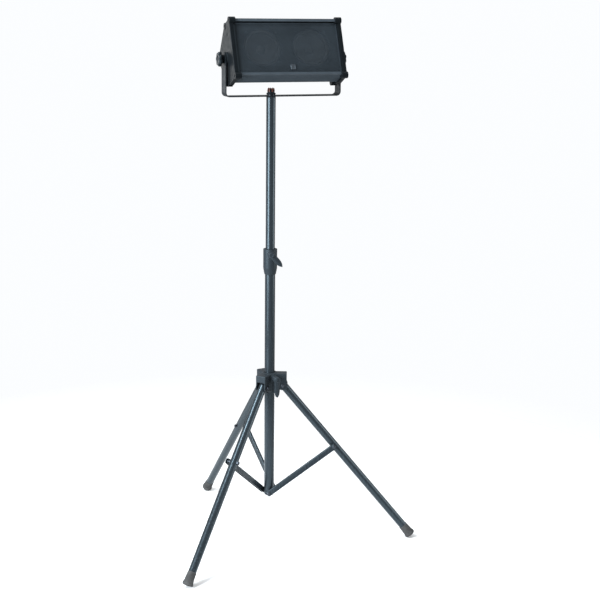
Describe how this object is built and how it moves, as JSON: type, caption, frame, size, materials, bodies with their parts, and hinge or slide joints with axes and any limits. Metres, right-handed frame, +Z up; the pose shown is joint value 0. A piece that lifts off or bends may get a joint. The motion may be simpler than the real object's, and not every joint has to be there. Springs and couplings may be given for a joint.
{
  "type": "pa speaker",
  "caption": "Small tilting PA speaker in a U-shaped yoke on a telescopic pole with a folding braced tripod stand",
  "frame": {"origin": "on the floor, on the axis of the stand's pole", "axes": "+Z up the pole, X across the speaker's width, the speaker faces -Y and tilts up"},
  "size_m": [0.8065, 0.7711, 1.6403],
  "materials": {
    "tube_paint": "satin black powder coat",
    "yoke_paint": "satin black powder coat on bent strap",
    "casting": "moulded black nylon",
    "bush_plastic": "plain black acetal",
    "shell_plastic": "ribbed black extrusion",
    "cap_plastic": "fine textured black moulding",
    "grille_paint": "perforated steel, black",
    "baffle_board": "matt black",
    "rubber": "black rubber",
    "surround_rubber": "soft black rubber",
    "fastener": "darkened zinc",
    "ferrite": "ferrite, grey",
    "cone_paper": "pressed fibre, dark grey",
    "knob_plastic": "moulded black",
    "knob_red": "red-brown ribbed knob",
    "badge_metal": "plain satin badge",
    "jack_metal": "nickel",
    "lead_rubber": "red insulation"
  },
  "bodies": {
    "lower_pole": {"lower_pole_tube": "tube_paint", "pole_clamp_collar": "casting", "pole_bush": "bush_plastic", "brace_fitting": "casting", "brace_pins": "fastener"},
    "leg_hub": {"hub_collar": "casting", "leg_pivot_bolts": "fastener"},
    "hub_lever": {"hub_clamp_lever": "casting", "hub_clamp_screw": "fastener"},
    "pole_lever": {"pole_clamp_lever": "casting", "pole_clamp_screw": "fastener"},
    "upper_pole": {"upper_pole_tube": "tube_paint", "upper_pole_glide": "bush_plastic", "pole_top_plug": "casting", "pole_top_stud": "fastener"},
    "yoke": {"yoke_bracket": "yoke_paint", "yoke_washer": "fastener"},
    "knob_top": {"top_knob": "knob_red"},
    "cabinet": {"cabinet_shell": "shell_plastic", "end_cap_left": "cap_plastic", "end_cap_right": "cap_plastic", "end_cap_screws": "fastener", "tilt_inserts": "fastener", "friction_washers": "bush_plastic", "baffle": "baffle_board", "grille": "grille_paint", "badge": "badge_metal", "driver_basket_left": "grille_paint", "driver_basket_right": "grille_paint", "surround_left": "surround_rubber", "surround_right": "surround_rubber", "driver_magnets": "ferrite", "cabinet_screws": "fastener", "input_plate": "cap_plastic", "input_jacks": "jack_metal", "driver_leads": "lead_rubber"},
    "knob_left": {"tilt_knob_left": "knob_plastic", "tilt_screw_left": "fastener"},
    "knob_right": {"tilt_knob_right": "knob_plastic", "tilt_screw_right": "fastener"},
    "cone_left": {"cone_left": "cone_paper"},
    "cone_right": {"cone_right": "cone_paper"},
    "leg_right": {"leg_tube_right": "tube_paint", "leg_plug_right": "bush_plastic", "foot_right": "rubber", "leg_bolt_right": "fastener"},
    "strut_right": {"brace_right": "tube_paint", "brace_rivet_right": "fastener"},
    "leg_rear": {"leg_tube_rear": "tube_paint", "leg_plug_rear": "bush_plastic", "foot_rear": "rubber", "leg_bolt_rear": "fastener"},
    "strut_rear": {"brace_rear": "tube_paint", "brace_rivet_rear": "fastener"},
    "leg_left": {"leg_tube_left": "tube_paint", "leg_plug_left": "bush_plastic", "foot_left": "rubber", "leg_bolt_left": "fastener"},
    "strut_left": {"brace_left": "tube_paint", "brace_rivet_left": "fastener"}
  },
  "joints": [
    {"name": "hub_slide", "type": "slide", "parent": "lower_pole", "child": "leg_hub", "axis": [0, 0, 1], "range_m": [0, 0.1536]},
    {"name": "hub_lever_turn", "type": "hinge", "parent": "leg_hub", "child": "hub_lever", "pos_m": [0, 0, 0.536], "axis": [0.1736, -0.9848, 0], "range_deg": [-90, 90]},
    {"name": "pole_lever_turn", "type": "hinge", "parent": "lower_pole", "child": "pole_lever", "pos_m": [0, 0, 0.93], "axis": [-0.2079, -0.9781, 0], "range_deg": [-90, 45]},
    {"name": "pole_slide", "type": "slide", "parent": "lower_pole", "child": "upper_pole", "axis": [0, 0, 1], "range_m": [-0.45, 0.1]},
    {"name": "yoke_pan", "type": "hinge", "parent": "upper_pole", "child": "yoke", "pos_m": [0, 0, 1.41], "axis": [0, 0, 1], "continuous": true},
    {"name": "top_knob_turn", "type": "hinge", "parent": "yoke", "child": "knob_top", "pos_m": [0, 0, 1.424], "axis": [0, 0, 1], "continuous": true},
    {"name": "cabinet_tilt", "type": "hinge", "parent": "yoke", "child": "cabinet", "pos_m": [0.034, 0, 1.518], "axis": [-1, 0, 0], "range_deg": [-40, 68]},
    {"name": "tilt_knob_left_turn", "type": "hinge", "parent": "cabinet", "child": "knob_left", "pos_m": [-0.156, 0, 1.518], "axis": [-1, 0, 0], "continuous": true},
    {"name": "tilt_knob_right_turn", "type": "hinge", "parent": "cabinet", "child": "knob_right", "pos_m": [0.224, 0, 1.518], "axis": [1, 0, 0], "continuous": true},
    {"name": "cone_left_travel", "type": "slide", "parent": "cabinet", "child": "cone_left", "axis": [0, -0.9272, 0.3746], "range_m": [-0.003, 0.003], "stiffness_N_per_m": 900, "deforming": ["surround_left"]},
    {"name": "cone_right_travel", "type": "slide", "parent": "cabinet", "child": "cone_right", "axis": [0, -0.9272, 0.3746], "range_m": [-0.003, 0.003], "stiffness_N_per_m": 900, "deforming": ["surround_right"]},
    {"name": "leg_right_fold", "type": "hinge", "parent": "leg_hub", "child": "leg_right", "pos_m": [0.03947, -0.01436, 0.509], "axis": [0.342, 0.9397, 0], "range_deg": [0, 36.85]},
    {"name": "strut_right_fold", "type": "hinge", "parent": "lower_pole", "child": "strut_right", "pos_m": [-0.00732, -0.02011, 0.152], "axis": [-0.342, -0.9397, 0], "range_deg": [0, 39.88]},
    {"name": "leg_rear_fold", "type": "hinge", "parent": "leg_hub", "child": "leg_rear", "pos_m": [-0.00729, 0.04136, 0.509], "axis": [-0.9848, -0.1736, 0], "range_deg": [0, 36.85]},
    {"name": "strut_rear_fold", "type": "hinge", "parent": "lower_pole", "child": "strut_rear", "pos_m": [0.02107, 0.00372, 0.152], "axis": [0.9848, 0.1736, 0], "range_deg": [0, 39.88]},
    {"name": "leg_left_fold", "type": "hinge", "parent": "leg_hub", "child": "leg_left", "pos_m": [-0.03217, -0.027, 0.509], "axis": [0.6428, -0.766, 0], "range_deg": [0, 36.85]},
    {"name": "strut_left_fold", "type": "hinge", "parent": "lower_pole", "child": "strut_left", "pos_m": [-0.01376, 0.01639, 0.152], "axis": [-0.6428, 0.766, 0], "range_deg": [0, 39.88]}
  ],
  "couplings": [
    {"joint": "leg_right_fold", "follows": "hub_slide", "rad_per_m": 4.1815},
    {"joint": "strut_right_fold", "follows": "hub_slide", "rad_per_m": 4.5261},
    {"joint": "leg_rear_fold", "follows": "hub_slide", "rad_per_m": 4.1815},
    {"joint": "strut_rear_fold", "follows": "hub_slide", "rad_per_m": 4.5261},
    {"joint": "leg_left_fold", "follows": "hub_slide", "rad_per_m": 4.1815},
    {"joint": "strut_left_fold", "follows": "hub_slide", "rad_per_m": 4.5261}
  ]
}
